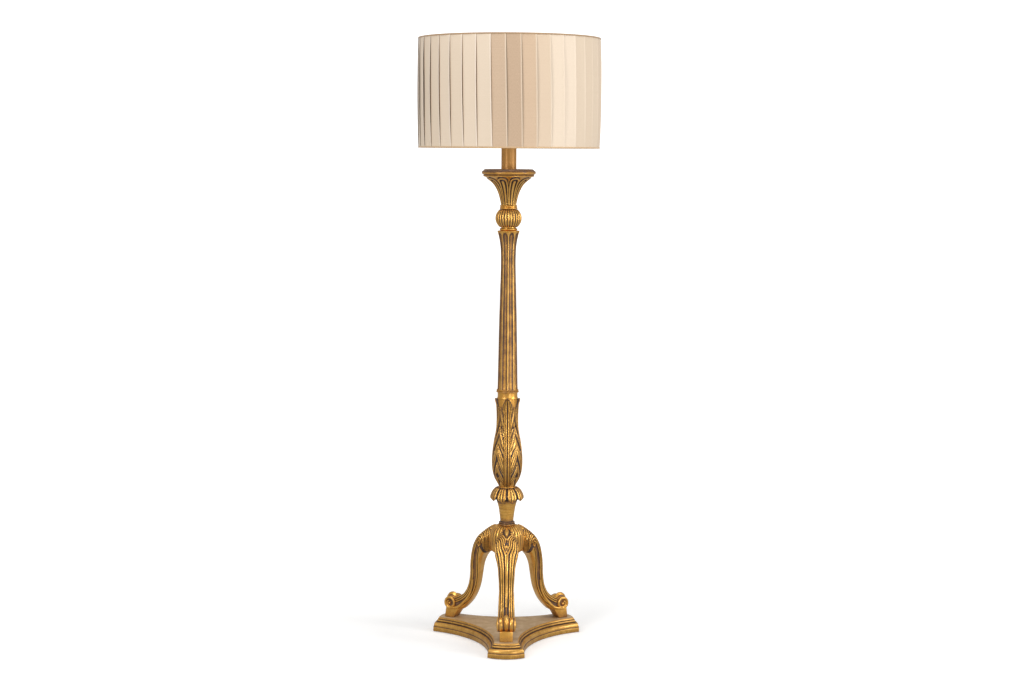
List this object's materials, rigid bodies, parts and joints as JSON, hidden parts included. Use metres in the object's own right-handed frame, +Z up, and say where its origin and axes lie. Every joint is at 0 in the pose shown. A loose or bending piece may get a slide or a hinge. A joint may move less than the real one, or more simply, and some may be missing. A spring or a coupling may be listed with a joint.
{
  "type": "floor lamp",
  "caption": "Tall carved candlestick floor lamp: three-cornered moulded plinth, scrolled tripod legs, leaf-carved and reeded column, drip pan, candle tube and pleated drum shade.",
  "frame": {"origin": "on the lamp rod's axis at the floor, under the felt pads", "axes": "+Z up along the rod; -Y towards the front leg; +X to the right of the front"},
  "size_m": [0.5089, 0.5087, 1.68],
  "materials": {
    "felt": "matt felt",
    "plinth_gold": "gilded, slightly dulled",
    "leg_gold": "gilded with a dark patina in the carving",
    "stem_gold": "gilded with a dark patina in the carving",
    "column_gold": "gilded reeds, dark brown flutes",
    "screw_steel": "zinc plated",
    "dowel_beech": "bare beech",
    "rod_steel": "zinc plated",
    "bush_plastic": "black",
    "candle_amber": "glossy amber gold",
    "holder_plastic": "ivory",
    "contact_brass": "bright",
    "bulb_glass": "pearl",
    "cap_metal": "bright",
    "wire_white": "white lacquer",
    "lining": "stiff laminated card",
    "shade_cloth": "satin, beige to cream",
    "binding_brown": "tan brown tape",
    "binding_tan": "tan tape"
  },
  "bodies": {
    "stand": {"felt_pads": "felt", "plinth_slab": "plinth_gold", "plinth_moulded_board": "plinth_gold", "foot_screws": "screw_steel", "leg_dowels": "dowel_beech", "leg_hub": "leg_gold", "front_leg": "leg_gold", "right_leg": "leg_gold", "left_leg": "leg_gold", "lamp_rod": "rod_steel", "rod_nuts": "rod_steel", "rod_washers": "rod_steel", "cord_outlet_bush": "bush_plastic", "vase_stem": "stem_gold", "petal_collar": "stem_gold", "acanthus_baluster": "stem_gold", "reeded_column": "column_gold", "gadrooned_knop": "stem_gold", "leaf_capital": "stem_gold", "drip_pan": "stem_gold", "candle_tube": "candle_amber", "lampholder_body": "holder_plastic", "lampholder_contacts": "contact_brass"},
    "shade": {"shade_carrier": "wire_white", "shade_top_ring": "wire_white", "shade_lining": "lining", "shade_cover": "shade_cloth", "shade_top_binding": "binding_brown", "shade_bottom_binding": "binding_tan"},
    "ring_nut": {"shade_ring_nut": "holder_plastic"},
    "bulb": {"bulb_glass": "bulb_glass", "bulb_cap": "cap_metal", "bulb_contact": "contact_brass"}
  },
  "joints": [
    {"name": "shade_turn", "type": "hinge", "parent": "stand", "child": "shade", "pos_m": [0, 0, 1.4505], "axis": [0, 0, 1], "continuous": true},
    {"name": "ring_nut_turn", "type": "hinge", "parent": "stand", "child": "ring_nut", "pos_m": [0, 0, 1.456], "axis": [0, 0, 1], "range_deg": [0, 1080]},
    {"name": "bulb_lift", "type": "slide", "parent": "stand", "child": "bulb", "axis": [0, 0, 1], "range_m": [0, 0.28]}
  ]
}
